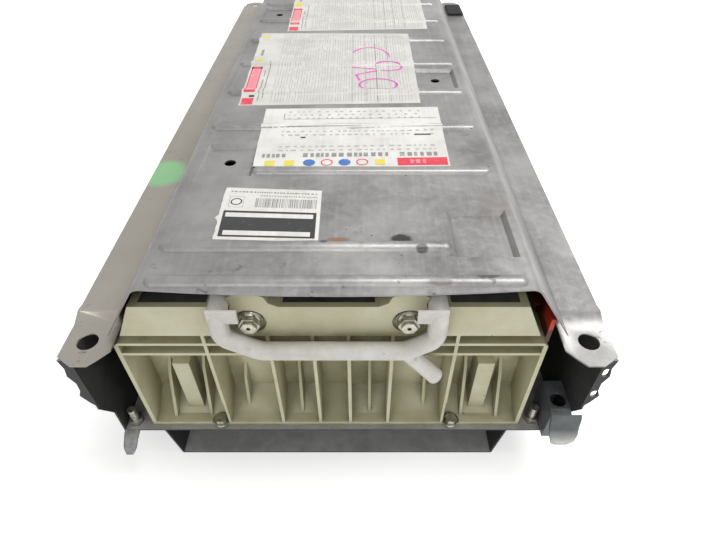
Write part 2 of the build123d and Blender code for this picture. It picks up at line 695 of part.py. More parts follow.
def power_lead(y_cell, y_block, z_block):
    """Insulated lead from a free terminal to the junction block, with a flat lug on the terminal."""
    start = -MODULE_LENGTH / 2 - TERMINAL_LENGTH + STACK_OFFSET
    z = MODULE_TOP - 22
    channel = -(CASE_HALF - PAN_SHEET - LEAD_R - 2.5)
    points = [(start - 1.5, y_cell, z), (channel, y_cell, z), (channel, y_block, z_block),
              (JUNCTION_X[0], y_block, z_block)]
    lead = tube_along(points, [LEAD_R * 1.4, LEAD_R * 1.6], LEAD_R)
    lug = block(start - 2, start, y_cell - 6, y_cell + 6, z - 6, z + 6)
    return lead + lug


def foam_pad():
    """Foam pad stuck on the right hand rail near its far end."""
    y1 = CASE_END - EAR_STEP - EAR_SLOPE - 2
    return block(RAIL_INNER + 2, RAIL_OUTER - 1, y1 - PAD_LENGTH, y1, RAIL_TOP, RAIL_TOP + PAD_THICK)


if __name__ == "__main__":
    save(lower_case(), "lower_case")
    save(top_cover(), "top_cover")
    front = shifted(end_plate())
    save(front, "end_plate_front")
    save(mirror(front, Plane.XZ.offset(-REAR_PLATE / 2)), "end_plate_rear")
    for number in range(MODULES):
        save(shifted(battery_module(number)), f"cell_block_{number + 1:02d}")
    for side, word in ((-1, "left"), (1, "right")):
        save(shifted(tie_rod(side)), f"tie_rod_{word}")
        save(shifted(vent_rail(side)), f"vent_rail_{word}")
        save(shifted(busbar_frame(side)), f"busbar_frame_{word}")
        save(shifted(busbars(side)), f"busbars_{word}")
    save(shifted(tie_rod_nuts()), "tie_rod_nuts")
    save(shifted(vent_cross_tube()), "vent_cross_tube")
    mount = pedestal()
    save(mount, "corner_pedestal_front")
    save(far_copy(mount), "corner_pedestal_rear")
    pads = shifted(end_pads())
    save(pads, "end_pads_front")
    save(mirror(pads, Plane.XZ.offset(-REAR_PLATE / 2)), "end_pads_rear")
    save(corner_studs(), "corner_studs")
    save(shifted(end_plate_bolts()), "end_plate_bolts")
    save(shifted(equipment_tray()), "equipment_tray")
    save(junction_block(), "junction_block")
    save(control_unit(), "control_unit")
    first_cell = STACK_START + MODULE_PITCH / 2
    last_cell = STACK_END - MODULE_PITCH / 2
    save(power_lead(first_cell, REAR_PLATE + 46, 84.0), "power_lead_front")
    save(power_lead(last_cell, REAR_PLATE + 24, 97.0), "power_lead_rear")
    save(foam_pad(), "foam_pad")
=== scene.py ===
import json
import math
import random

import bmesh
import bpy
from mathutils import Euler, Matrix, Vector, noise


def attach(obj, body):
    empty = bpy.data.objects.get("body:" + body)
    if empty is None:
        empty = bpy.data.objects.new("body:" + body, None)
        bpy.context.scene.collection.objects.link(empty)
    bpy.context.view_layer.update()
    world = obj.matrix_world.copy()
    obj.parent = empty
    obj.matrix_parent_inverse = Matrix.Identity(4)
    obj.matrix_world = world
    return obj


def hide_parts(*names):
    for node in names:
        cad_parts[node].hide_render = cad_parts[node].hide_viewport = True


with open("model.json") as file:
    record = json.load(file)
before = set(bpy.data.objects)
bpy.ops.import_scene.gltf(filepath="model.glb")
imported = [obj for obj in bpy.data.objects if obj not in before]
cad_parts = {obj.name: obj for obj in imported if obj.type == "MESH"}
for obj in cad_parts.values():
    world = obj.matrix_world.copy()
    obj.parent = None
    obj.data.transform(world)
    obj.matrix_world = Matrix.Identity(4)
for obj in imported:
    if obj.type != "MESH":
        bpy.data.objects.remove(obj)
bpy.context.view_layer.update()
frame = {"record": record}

MM = 0.001

# ---- heights and lines of the case that finishes and added pieces go by, in metres ----
DOME_TOP = 0.189
BEAD_LINES = [-0.3474, -0.3164, -0.2294, -0.1609, -0.0924, -0.0239, 0.0446, 0.1131, 0.1816, 0.2501, 0.3164]
BEAD_RADIUS = 0.0062        # of the round that a film follows over a bead, just outside the steel
BEAD_SINK = 0.0033          # how far the centre of that round lies under the dome
BEAD_REACH = 0.0056         # half width over which a bead lifts a film
PRESSED_BEAD = 0.00243      # rise of the beads that the labels are pressed down on
LABELS_FROM, LABELS_TO = -0.235, 0.262
RAIL_STARTS = -0.1405       # the left rail's finish begins here and is full at RAIL_FULL
RAIL_FULL = -0.1465
CHIPS_PAST = 0.3660         # loose chips of the deck lie past this line, under CHIPS_UNDER
CHIPS_UNDER = 0.0375

# ---- camera: a short lens held close over the vent outlet end ----
camera_data = bpy.data.cameras.new("camera")
camera_data.lens = 25.5
camera_data.sensor_width = 36.0
camera_data.clip_start = 0.01
camera_data.clip_end = 30.0
camera = bpy.data.objects.new("camera", camera_data)
camera.location = (14.5 * MM, -558.9 * MM, 395 * MM)
camera.rotation_euler = Euler((math.radians(46.9), 0.0, 0.0))
bpy.context.scene.collection.objects.link(camera)
bpy.context.scene.camera = camera
bpy.context.scene.view_settings.view_transform = "Standard"


# ---- small tools ----
# a Mix node names its colour sockets as it names its number sockets, so they go by their place
FIRST, SECOND, BLEND = 6, 7, 2


def linear(hex_colour):
    """sRGB hex to the linear colour that the shaders take."""
    parts = [int(hex_colour[i:i + 2], 16) / 255 for i in (1, 3, 5)]
    return [c / 12.92 if c <= 0.04045 else ((c + 0.055) / 1.055) ** 2.4 for c in parts] + [1.0]


def add(tree, kind, inputs=None, out=0, **settings):
    """Add a node with its settings, values, hex colours and links; gives back one of its outputs."""
    node = tree.nodes.new(kind)
    for name, value in settings.items():
        setattr(node, name, value)
    for key, value in (inputs or {}).items():
        socket = node.inputs[key]
        if isinstance(value, bpy.types.NodeSocket):
            tree.links.new(value, socket)
        elif isinstance(value, str):
            socket.default_value = linear(value)
        else:
            socket.default_value = value
    return node.outputs[out]


def start(name):
    """A new material with its shader; returns material, node tree and shader."""
    material = bpy.data.materials.new(name)
    material.use_nodes = True
    tree = material.node_tree
    shader = tree.nodes["Principled BSDF"]
    return material, tree, shader


def clouds(tree, where, size_mm, detail=4.0, rough=0.55, stretch=(1, 1, 1), turn=0.0):
    """Noise whose patches are about size_mm across, on object coordinates in metres."""
    placed = add(tree, "ShaderNodeMapping", {"Vector": where, "Scale": stretch, "Rotation": (0, 0, turn)})
    settings = {"Vector": placed, "Scale": 1000.0 / size_mm, "Detail": detail, "Roughness": rough}
    return add(tree, "ShaderNodeTexNoise", settings)


def specks(tree, where, per_metre, patch_mm, patch_full):
    """Small dots, in patches only."""
    dots = add(tree, "ShaderNodeTexVoronoi", {"Vector": where, "Scale": per_metre}, out="Distance")
    few = add(tree, "ShaderNodeMapRange", {
        "Value": clouds(tree, where, patch_mm, 2), "From Min": 0.5, "From Max": patch_full
    })
    return add(tree, "ShaderNodeMath", {
        0: add(tree, "ShaderNodeMapRange", {"Value": dots, "From Min": 0.07, "From Max": 0.045}), 1: few
    }, operation="MULTIPLY")


def hollow_shade(tree, reach_mm):
    """One in hollows and corners, nought in the open: the mask for painted shade."""
    open_sky = add(tree, "ShaderNodeAmbientOcclusion", {"Distance": reach_mm * MM}, out="AO", samples=8)
    return add(tree, "ShaderNodeMapRange", {
        "Value": open_sky, "From Min": 0.35, "From Max": 0.95, "To Min": 1.0, "To Max": 0.0
    })


def spot(tree, where, centre_mm, radii_mm, wobble, wobble_amount=0.5):
    """A ragged patch round a place on the object."""
    centre = [c * MM for c in centre_mm]
    shifted = add(tree, "ShaderNodeVectorMath", {0: where, 1: centre}, operation="SUBTRACT")
    shrink = [1 / (r * MM) for r in radii_mm]
    scaled = add(tree, "ShaderNodeVectorMath", {0: shifted, 1: shrink}, operation="MULTIPLY")
    far = add(tree, "ShaderNodeVectorMath", {0: scaled}, out="Value", operation="LENGTH")
    ragged = add(tree, "ShaderNodeMath", {
        0: wobble, 1: wobble_amount * 2, 2: far
    }, operation="MULTIPLY_ADD")
    return add(tree, "ShaderNodeMapRange", {
        "Value": ragged,
        "From Min": 0.75 + wobble_amount,
        "From Max": 1.1 + wobble_amount,
        "To Min": 1.0,
        "To Max": 0.0,
    })


# ---- finishes ----
# stains on the dome: centre and reach in mm, colour, strength
STAINS = (
    ((40, -309, 189), (7, 5, 30), "#262524", 0.9),
    ((52, -320, 189), (4, 3, 30), "#3A3836", 0.8),
    ((0, -311, 189), (8, 4, 30), "#8A6A48", 0.8),
    ((-9, -313, 189), (3, 3, 30), "#2F2C2A", 0.8),
    ((88, -345, 189), (7, 2.5, 30), "#4A4846", 0.7),
    ((60, -350, 189), (8, 2, 30), "#55524F", 0.6),
    ((104, -270, 189), (12, 18, 30), "#7E7A75", 0.5),
)


def zinc_coated_pressing():
    """Zinc coated deep drawn steel: grey, softly glossy, clouded by handling, scuffed and specked."""
    material, tree, shader = start("zinc_coated_pressed_steel")
    where = add(tree, "ShaderNodeTexCoord", out="Object")
    cloud = clouds(tree, where, 60, 5)
    fine = clouds(tree, where, 6, 3, 0.6)
    colour = add(tree, "ShaderNodeMix", {
        "Factor": add(tree, "ShaderNodeMapRange", {"Value": cloud, "From Min": 0.35, "From Max": 0.68}),
        FIRST: "#7B7978",
        SECOND: "#A3A19F",
    }, out=BLEND, data_type="RGBA")
    colour = add(tree, "ShaderNodeMix", {
        "Factor": add(tree, "ShaderNodeMapRange", {
            "Value": fine, "From Min": 0.45, "From Max": 0.8, "To Min": 0.0, "To Max": 0.35
        }),
        FIRST: colour,
        SECOND: "#B4B2AF",
    }, out=BLEND, data_type="RGBA")
    # rolling marks along the sheet, about 3 mm apart
    rolled = clouds(tree, where, 3, 2, 0.5, (1.0, 0.04, 1.0))
    colour = add(tree, "ShaderNodeMix", {
        "Factor": add(tree, "ShaderNodeMapRange", {
            "Value": rolled, "From Min": 0.5, "From Max": 0.75, "To Min": 0.0, "To Max": 0.16
        }),
        FIRST: colour,
        SECOND: "#BDBBB8",
    }, out=BLEND, data_type="RGBA")
    # the left rail is dulled and beige
    rail = add(tree, "ShaderNodeMapRange", {
        "Value": add(tree, "ShaderNodeSeparateXYZ", {0: where}, out="X"),
        "From Min": RAIL_STARTS,
        "From Max": RAIL_FULL,
        "To Min": 0.0,
        "To Max": 0.85,
    })
    colour = add(tree, "ShaderNodeMix", {
        "Factor": rail,
        FIRST: colour,
        SECOND: add(tree, "ShaderNodeMix", {
            "Factor": cloud, FIRST: "#A39B8D", SECOND: "#B8B2A6"
        }, out=BLEND, data_type="RGBA"),
    }, out=BLEND, data_type="RGBA")
    # the left half of the dome is painted a little darker, as shade
    dull = add(tree, "ShaderNodeMapRange", {
        "Value": add(tree, "ShaderNodeSeparateXYZ", {0: where}, out="X"),
        "From Min": -0.02,
        "From Max": -0.11,
        "To Min": 0.0,
        "To Max": 0.32,
    })
    colour = add(tree, "ShaderNodeMix", {
        "Factor": dull, FIRST: colour, SECOND: "#666463"
    }, out=BLEND, data_type="RGBA")
    # painted shade: walls of the dome that face left are painted darker brown grey
    face = add(tree, "ShaderNodeNewGeometry", out="Normal")
    left_facing_shade = add(tree, "ShaderNodeMapRange", {
        "Value": add(tree, "ShaderNodeSeparateXYZ", {0: face}, out="X"),
        "From Min": -0.45,
        "From Max": -0.8,
        "To Min": 0.0,
        "To Max": 0.8,
    })
    colour = add(tree, "ShaderNodeMix", {
        "Factor": left_facing_shade,
        FIRST: colour,
        SECOND: add(tree, "ShaderNodeMix", {
            "Factor": cloud, FIRST: "#57534D", SECOND: "#716D66"
        }, out=BLEND, data_type="RGBA"),
    }, out=BLEND, data_type="RGBA")
    # long scratches at three angles
    for angle, low in ((0.5, 0.69), (-0.9, 0.71), (1.4, 0.72)):
        scratch = clouds(tree, where, 9, 6, 0.7, (4.0, 0.25, 1.0), angle)
        colour = add(tree, "ShaderNodeMix", {
            "Factor": add(tree, "ShaderNodeMapRange", {
                "Value": scratch, "From Min": low, "From Max": low + 0.05, "To Min": 0.0, "To Max": 0.4
            }),
            FIRST: colour,
            SECOND: "#6E6C6A",
        }, out=BLEND, data_type="RGBA")
    # handling stains and dark drips
    stain = clouds(tree, where, 26, 8, 0.74)
    colour = add(tree, "ShaderNodeMix", {
        "Factor": add(tree, "ShaderNodeMapRange", {
            "Value": stain, "From Min": 0.6, "From Max": 0.72, "To Min": 0.0, "To Max": 0.45
        }),
        FIRST: colour,
        SECOND: "#6C6863",
    }, out=BLEND, data_type="RGBA")
    wobble = clouds(tree, where, 4, 8, 0.78)
    front_soil = add(tree, "ShaderNodeMapRange", {
        "Value": add(tree, "ShaderNodeSeparateXYZ", {0: where}, out="Y"),
        "From Min": -0.3,
        "From Max": -0.36,
    })
    blots = add(tree, "ShaderNodeMath", {
        0: add(tree, "ShaderNodeMapRange", {
            "Value": clouds(tree, where, 11, 5, 0.7), "From Min": 0.62, "From Max": 0.68
        }),
        1: front_soil,
    }, operation="MULTIPLY")
    colour = add(tree, "ShaderNodeMix", {
        "Factor": add(tree, "ShaderNodeMath", {0: blots, 1: 0.75}, operation="MULTIPLY"),
        FIRST: colour,
        SECOND: "#3B3A39",
    }, out=BLEND, data_type="RGBA")
    for centre, radii, shade, strength in STAINS:
        place = spot(tree, where, centre, radii, wobble)
        colour = add(tree, "ShaderNodeMix", {
            "Factor": add(tree, "ShaderNodeMath", {0: place, 1: strength}, operation="MULTIPLY"),
            FIRST: colour,
            SECOND: shade,
        }, out=BLEND, data_type="RGBA")
    dots = specks(tree, where, 85.0, 25, 0.56)
    colour = add(tree, "ShaderNodeMix", {
        "Factor": add(tree, "ShaderNodeMath", {0: dots, 1: 0.8}, operation="MULTIPLY"),
        FIRST: colour,
        SECOND: "#2C2B2A",
    }, out=BLEND, data_type="RGBA")
    # green marking paint on the left rail and down the wall of the dome
    green = spot(tree, where, (-163, -163, 145), (22, 22, 20), wobble, 0.25)
    green = add(tree, "ShaderNodeMath", {
        0: green, 1: spot(tree, where, (-131, -143, 165), (9, 24, 40), wobble, 0.25)
    }, operation="MAXIMUM")
    colour = add(tree, "ShaderNodeMix", {
        "Factor": add(tree, "ShaderNodeMath", {0: green, 1: 0.78}, operation="MULTIPLY"),
        FIRST: colour,
        SECOND: "#86C48C",
    }, out=BLEND, data_type="RGBA")
    # painted shade in the hollows and corners of the cover
    colour = add(tree, "ShaderNodeMix", {
        "Factor": add(tree, "ShaderNodeMath", {0: hollow_shade(tree, 14), 1: 0.45}, operation="MULTIPLY"),
        FIRST: colour,
        SECOND: "#55524E",
    }, out=BLEND, data_type="RGBA")
    tree.links.new(colour, shader.inputs["Base Color"])
    shader.inputs["Metallic"].default_value = 0.6
    tree.links.new(
        add(tree, "ShaderNodeMapRange", {
            "Value": fine, "From Min": 0.3, "From Max": 0.8, "To Min": 0.33, "To Max": 0.5
        }),
        shader.inputs["Roughness"],
    )
    waves = clouds(tree, where, 48, 2)
    dents = add(tree, "ShaderNodeBump", {"Strength": 0.35, "Distance": 0.0016, "Height": waves})
    relief = add(tree, "ShaderNodeBump", {
        "Strength": 0.12, "Distance": 0.0003, "Height": fine, "Normal": dents
    })
    tree.links.new(relief, shader.inputs["Normal"])
    return material


def coated_case_steel():
    """Electrocoated pressed steel: nearly black on the walls; where it lies flat it is painted light grey,
    for road dust and for light falling on it.
    """
    material, tree, shader = start("electrocoated_case_steel")
    where = add(tree, "ShaderNodeTexCoord", out="Object")
    cloud = clouds(tree, where, 30, 6, 0.65)
    colour = add(tree, "ShaderNodeMix", {
        "Factor": add(tree, "ShaderNodeMapRange", {"Value": cloud, "From Min": 0.35, "From Max": 0.7}),
        FIRST: "#1B1C1B",
        SECOND: "#313332",
    }, out=BLEND, data_type="RGBA")
    face = add(tree, "ShaderNodeNewGeometry", out="Normal")
    up = add(tree, "ShaderNodeSeparateXYZ", {0: face}, out="Z")
    # faces that point up are painted light grey: road dust, and painted light on the floor that lies in the
    # shade of the deck
    dust = add(tree, "ShaderNodeMath", {
        0: add(tree, "ShaderNodeMapRange", {"Value": up, "From Min": 0.4, "From Max": 0.9}),
        1: add(tree, "ShaderNodeMapRange", {
            "Value": cloud, "From Min": 0.25, "From Max": 0.6, "To Min": 0.7, "To Max": 1.0
        }),
    }, operation="MULTIPLY")
    dusty = add(tree, "ShaderNodeMix", {
        "Factor": clouds(tree, where, 9, 5, 0.7), FIRST: "#868683", SECOND: "#B9B8B5"
    }, out=BLEND, data_type="RGBA")
    colour = add(tree, "ShaderNodeMix", {
        "Factor": dust, FIRST: colour, SECOND: dusty
    }, out=BLEND, data_type="RGBA")
    rust = clouds(tree, where, 12, 6, 0.7)
    colour = add(tree, "ShaderNodeMix", {
        "Factor": add(tree, "ShaderNodeMapRange", {
            "Value": rust, "From Min": 0.66, "From Max": 0.74, "To Min": 0.0, "To Max": 0.5
        }),
        FIRST: colour,
        SECOND: "#6A5A4B",
    }, out=BLEND, data_type="RGBA")
    tree.links.new(colour, shader.inputs["Base Color"])
    tree.links.new(
        add(tree, "ShaderNodeMapRange", {
            "Value": cloud, "From Min": 0.3, "From Max": 0.7, "To Min": 0.5, "To Max": 0.75
        }),
        shader.inputs["Roughness"],
    )
    grain = clouds(tree, where, 5, 5, 0.6)
    relief = add(tree, "ShaderNodeBump", {"Strength": 0.3, "Distance": 0.0006, "Height": grain})
    tree.links.new(relief, shader.inputs["Normal"])
    return material


def moulded_cream():
    """Injection moulded natural polypropylene: waxy cream, darker olive in the pockets, as soil settled
    there and as painted shade.
    """
    material, tree, shader = start("moulded_natural_polypropylene")
    where = add(tree, "ShaderNodeTexCoord", out="Object")
    cloud = clouds(tree, where, 26, 5, 0.6)
    colour = add(tree, "ShaderNodeMix", {
        "Factor": add(tree, "ShaderNodeMapRange", {"Value": cloud, "From Min": 0.35, "From Max": 0.7}),
        FIRST: "#C6C2A0",
        SECOND: "#D9D6BB",
    }, out=BLEND, data_type="RGBA")
    # darker olive where the surface is hollow: soil, and painted shade in the pockets
    soil = add(tree, "ShaderNodeMath", {
        0: hollow_shade(tree, 26),
        1: add(tree, "ShaderNodeMapRange", {
            "Value": cloud, "From Min": 0.2, "From Max": 0.65, "To Min": 0.65, "To Max": 1.0
        }),
    }, operation="MULTIPLY")
    colour = add(tree, "ShaderNodeMix", {
        "Factor": add(tree, "ShaderNodeMath", {0: soil, 1: 0.8}, operation="MULTIPLY"),
        FIRST: colour,
        SECOND: "#8C8763",
    }, out=BLEND, data_type="RGBA")
    # darker still in the deepest corners: painted shade, with soil
    deep = add(tree, "ShaderNodeMath", {
        0: hollow_shade(tree, 9),
        1: add(tree, "ShaderNodeMapRange", {
            "Value": clouds(tree, where, 12, 5), "From Min": 0.4, "From Max": 0.6
        }),
    }, operation="MULTIPLY")
    colour = add(tree, "ShaderNodeMix", {
        "Factor": add(tree, "ShaderNodeMath", {0: deep, 1: 0.45}, operation="MULTIPLY"),
        FIRST: colour,
        SECOND: "#5E5A3F",
    }, out=BLEND, data_type="RGBA")
    dots = specks(tree, where, 90.0, 30, 0.54)
    colour = add(tree, "ShaderNodeMix", {
        "Factor": add(tree, "ShaderNodeMath", {0: dots, 1: 0.75}, operation="MULTIPLY"),
        FIRST: colour,
        SECOND: "#3A3626",
    }, out=BLEND, data_type="RGBA")
    tree.links.new(colour, shader.inputs["Base Color"])
    tree.links.new(
        add(tree, "ShaderNodeMapRange", {
            "Value": cloud, "From Min": 0.3, "From Max": 0.7, "To Min": 0.38, "To Max": 0.52
        }),
        shader.inputs["Roughness"],
    )
    shader.inputs["Subsurface Weight"].default_value = 0.12
    shader.inputs["Subsurface Radius"].default_value = (0.004, 0.003, 0.0015)
    shader.inputs["Subsurface Scale"].default_value = 1.0
    grain = clouds(tree, where, 2, 3)
    relief = add(tree, "ShaderNodeBump", {"Strength": 0.1, "Distance": 0.0003, "Height": grain})
    tree.links.new(relief, shader.inputs["Normal"])
    return material


def soft_white_tube():
    """Extruded soft polyethylene tube: milky white with faint grey handling marks."""
    material, tree, shader = start("extruded_soft_polyethylene")
    where = add(tree, "ShaderNodeTexCoord", out="Object")
    cloud = clouds(tree, where, 22, 5, 0.65)
    colour = add(tree, "ShaderNodeMix", {
        "Factor": add(tree, "ShaderNodeMapRange", {"Value": cloud, "From Min": 0.35, "From Max": 0.7}),
        FIRST: "#D2CEC6",
        SECOND: "#E9E7E2",
    }, out=BLEND, data_type="RGBA")
    smudge = clouds(tree, where, 9, 6, 0.7)
    colour = add(tree, "ShaderNodeMix", {
        "Factor": add(tree, "ShaderNodeMapRange", {
            "Value": smudge, "From Min": 0.62, "From Max": 0.72, "To Min": 0.0, "To Max": 0.5
        }),
        FIRST: colour,
        SECOND: "#A79F92",
    }, out=BLEND, data_type="RGBA")
    tree.links.new(colour, shader.inputs["Base Color"])
    tree.links.new(
        add(tree, "ShaderNodeMapRange", {
            "Value": smudge, "From Min": 0.3, "From Max": 0.7, "To Min": 0.35, "To Max": 0.5
        }),
        shader.inputs["Roughness"],
    )
    shader.inputs["Subsurface Weight"].default_value = 0.15
    shader.inputs["Subsurface Radius"].default_value = (0.003, 0.003, 0.0025)
    shader.inputs["Subsurface Scale"].default_value = 1.0
    grain = clouds(tree, where, 8, 2)
    relief = add(tree, "ShaderNodeBump", {"Strength": 0.15, "Distance": 0.0004, "Height": grain})
    tree.links.new(relief, shader.inputs["Normal"])
    return material


def zinc_plated_fastener():
    """Zinc plated cold forged steel: bright, a little yellow, dull where it was handled."""
    material, tree, shader = start("zinc_plated_fastener_steel")
    where = add(tree, "ShaderNodeTexCoord", out="Object")
    cloud = clouds(tree, where, 4, 5, 0.65)
    colour = add(tree, "ShaderNodeMix", {
        "Factor": add(tree, "ShaderNodeMapRange", {"Value": cloud, "From Min": 0.35, "From Max": 0.7}),
        FIRST: "#A8A594",
        SECOND: "#D6D4CA",
    }, out=BLEND, data_type="RGBA")
    # painted shade in the crevices of the nuts and threads
    colour = add(tree, "ShaderNodeMix", {
        "Factor": add(tree, "ShaderNodeMath", {0: hollow_shade(tree, 3), 1: 0.7}, operation="MULTIPLY"),
        FIRST: colour,
        SECOND: "#3E3A30",
    }, out=BLEND, data_type="RGBA")
    tree.links.new(colour, shader.inputs["Base Color"])
    shader.inputs["Metallic"].default_value = 0.9
    tree.links.new(
        add(tree, "ShaderNodeMapRange", {
            "Value": cloud, "From Min": 0.3, "From Max": 0.75, "To Min": 0.22, "To Max": 0.45
        }),
        shader.inputs["Roughness"],
    )
    grain = clouds(tree, where, 1.5, 3)
    relief = add(tree, "ShaderNodeBump", {"Strength": 0.15, "Distance": 0.0001, "Height": grain})
    tree.links.new(relief, shader.inputs["Normal"])
    return material


def moulded_plastic(name, dark, light, rough_low, rough_high, dust="#6A6A66", dust_most=0.35):
    """Injection moulded engineering plastic with fine spark-eroded texture and settled dust."""
    material, tree, shader = start(name)
    where = add(tree, "ShaderNodeTexCoord", out="Object")
    cloud = clouds(tree, where, 18, 5, 0.65)
    colour = add(tree, "ShaderNodeMix", {
        "Factor": add(tree, "ShaderNodeMapRange", {"Value": cloud, "From Min": 0.35, "From Max": 0.7}),
        FIRST: dark,
        SECOND: light,
    }, out=BLEND, data_type="RGBA")
    face = add(tree, "ShaderNodeNewGeometry", out="Normal")
    up = add(tree, "ShaderNodeSeparateXYZ", {0: face}, out="Z")
    film = add(tree, "ShaderNodeMath", {
        0: add(tree, "ShaderNodeMapRange", {"Value": up, "From Min": 0.5, "From Max": 0.95}),
        1: add(tree, "ShaderNodeMapRange", {
            "Value": cloud, "From Min": 0.3, "From Max": 0.65, "To Min": 0.2, "To Max": 1.0
        }),
    }, operation="MULTIPLY")
    colour = add(tree, "ShaderNodeMix", {
        "Factor": add(tree, "ShaderNodeMath", {0: film, 1: dust_most}, operation="MULTIPLY"),
        FIRST: colour,
        SECOND: dust,
    }, out=BLEND, data_type="RGBA")
    tree.links.new(colour, shader.inputs["Base Color"])
    tree.links.new(
        add(tree, "ShaderNodeMapRange", {
            "Value": cloud, "From Min": 0.3, "From Max": 0.75, "To Min": rough_low, "To Max": rough_high
        }),
        shader.inputs["Roughness"],
    )
    grain = clouds(tree, where, 1.2, 3)
    relief = add(tree, "ShaderNodeBump", {"Strength": 0.12, "Distance": 0.0002, "Height": grain})
    tree.links.new(relief, shader.inputs["Normal"])
    return material


def orange_with_painted_shadow():
    """Injection moulded orange nylon: red orange at the tips; lower down and further back along the case it
    is painted dark brown, as shadow.
    """
    material, tree, shader = start("moulded_orange_nylon")
    where = add(tree, "ShaderNodeTexCoord", out="Object")
    cloud = clouds(tree, where, 10, 5, 0.65)
    colour = add(tree, "ShaderNodeMix", {
        "Factor": add(tree, "ShaderNodeMapRange", {"Value": cloud, "From Min": 0.35, "From Max": 0.7}),
        FIRST: "#C9371F",
        SECOND: "#E0502E",
    }, out=BLEND, data_type="RGBA")
    # painted shadow: dark brown below the tips and behind them along the case
    low = add(tree, "ShaderNodeMapRange", {
        "Value": add(tree, "ShaderNodeSeparateXYZ", {0: where}, out="Z"),
        "From Min": 0.1415,
        "From Max": 0.1385,
    })
    back = add(tree, "ShaderNodeMapRange", {
        "Value": add(tree, "ShaderNodeSeparateXYZ", {0: where}, out="Y"),
        "From Min": -0.333,
        "From Max": -0.326,
    })
    painted_shadow = add(tree, "ShaderNodeMath", {
        0: add(tree, "ShaderNodeMath", {0: low, 1: back}, operation="MAXIMUM"), 1: 0.9
    }, operation="MULTIPLY")
    colour = add(tree, "ShaderNodeMix", {
        "Factor": painted_shadow,
        FIRST: colour,
        SECOND: add(tree, "ShaderNodeMix", {
            "Factor": cloud, FIRST: "#2A1D19", SECOND: "#4A2A20"
        }, out=BLEND, data_type="RGBA"),
    }, out=BLEND, data_type="RGBA")
    tree.links.new(colour, shader.inputs["Base Color"])
    tree.links.new(
        add(tree, "ShaderNodeMapRange", {
            "Value": cloud, "From Min": 0.3, "From Max": 0.75, "To Min": 0.38, "To Max": 0.5
        }),
        shader.inputs["Roughness"],
    )
    return material


def torn_sheet():
    """Torn edge of the case's sheet: coating gone, dull pale grey with a dusty film."""
    material, tree, shader = start("bare_torn_case_steel")
    where = add(tree, "ShaderNodeTexCoord", out="Object")
    cloud = clouds(tree, where, 7, 5, 0.65)
    colour = add(tree, "ShaderNodeMix", {
        "Factor": add(tree, "ShaderNodeMapRange", {"Value": cloud, "From Min": 0.35, "From Max": 0.7}),
        FIRST: "#77777A",
        SECOND: "#A9A8A6",
    }, out=BLEND, data_type="RGBA")
    tree.links.new(colour, shader.inputs["Base Color"])
    shader.inputs["Metallic"].default_value = 0.3
    tree.links.new(
        add(tree, "ShaderNodeMapRange", {
            "Value": cloud, "From Min": 0.3, "From Max": 0.75, "To Min": 0.4, "To Max": 0.6
        }),
        shader.inputs["Roughness"],
    )
    return material


def pedestal_coating():
    """Phosphated and thinly coated drawn steel: slate grey, paler along the outer edge of its lip."""
    material, tree, shader = start("phosphated_drawn_steel")
    where = add(tree, "ShaderNodeTexCoord", out="Object")
    cloud = clouds(tree, where, 14, 5, 0.6)
    colour = add(tree, "ShaderNodeMix", {
        "Factor": add(tree, "ShaderNodeMapRange", {"Value": cloud, "From Min": 0.35, "From Max": 0.7}),
        FIRST: "#54595B",
        SECOND: "#6F7476",
    }, out=BLEND, data_type="RGBA")
    # the outer edge of the lip is paler
    reach = add(tree, "ShaderNodeVectorMath", {0: where}, operation="ABSOLUTE")
    lip = add(tree, "ShaderNodeMapRange", {
        "Value": add(tree, "ShaderNodeSeparateXYZ", {0: reach}, out="Y"),
        "From Min": 0.3655,
        "From Max": 0.3715,
    })
    colour = add(tree, "ShaderNodeMix", {
        "Factor": add(tree, "ShaderNodeMath", {0: lip, 1: 0.9}, operation="MULTIPLY"),
        FIRST: colour,
        SECOND: add(tree, "ShaderNodeMix", {
            "Factor": cloud, FIRST: "#8F8E8C", SECOND: "#BEBDBA"
        }, out=BLEND, data_type="RGBA"),
    }, out=BLEND, data_type="RGBA")
    tree.links.new(colour, shader.inputs["Base Color"])
    shader.inputs["Metallic"].default_value = 0.35
    tree.links.new(
        add(tree, "ShaderNodeMapRange", {
            "Value": cloud, "From Min": 0.3, "From Max": 0.75, "To Min": 0.35, "To Max": 0.55
        }),
        shader.inputs["Roughness"],
    )
    grain = clouds(tree, where, 14, 2)
    relief = add(tree, "ShaderNodeBump", {"Strength": 0.2, "Distance": 0.0006, "Height": grain})
    tree.links.new(relief, shader.inputs["Normal"])
    return material


def link_copper():
    """Nickel washed copper strip: pinkish grey, tarnished in patches."""
    material, tree, shader = start("nickel_washed_copper")
    where = add(tree, "ShaderNodeTexCoord", out="Object")
    cloud = clouds(tree, where, 6, 5, 0.65)
    colour = add(tree, "ShaderNodeMix", {
        "Factor": add(tree, "ShaderNodeMapRange", {"Value": cloud, "From Min": 0.35, "From Max": 0.7}),
        FIRST: "#9C6B4C",
        SECOND: "#C9A58C",
    }, out=BLEND, data_type="RGBA")
    tree.links.new(colour, shader.inputs["Base Color"])
    shader.inputs["Metallic"].default_value = 1.0
    tree.links.new(
        add(tree, "ShaderNodeMapRange", {
            "Value": cloud, "From Min": 0.3, "From Max": 0.75, "To Min": 0.28, "To Max": 0.5
        }),
        shader.inputs["Roughness"],
    )
    return material


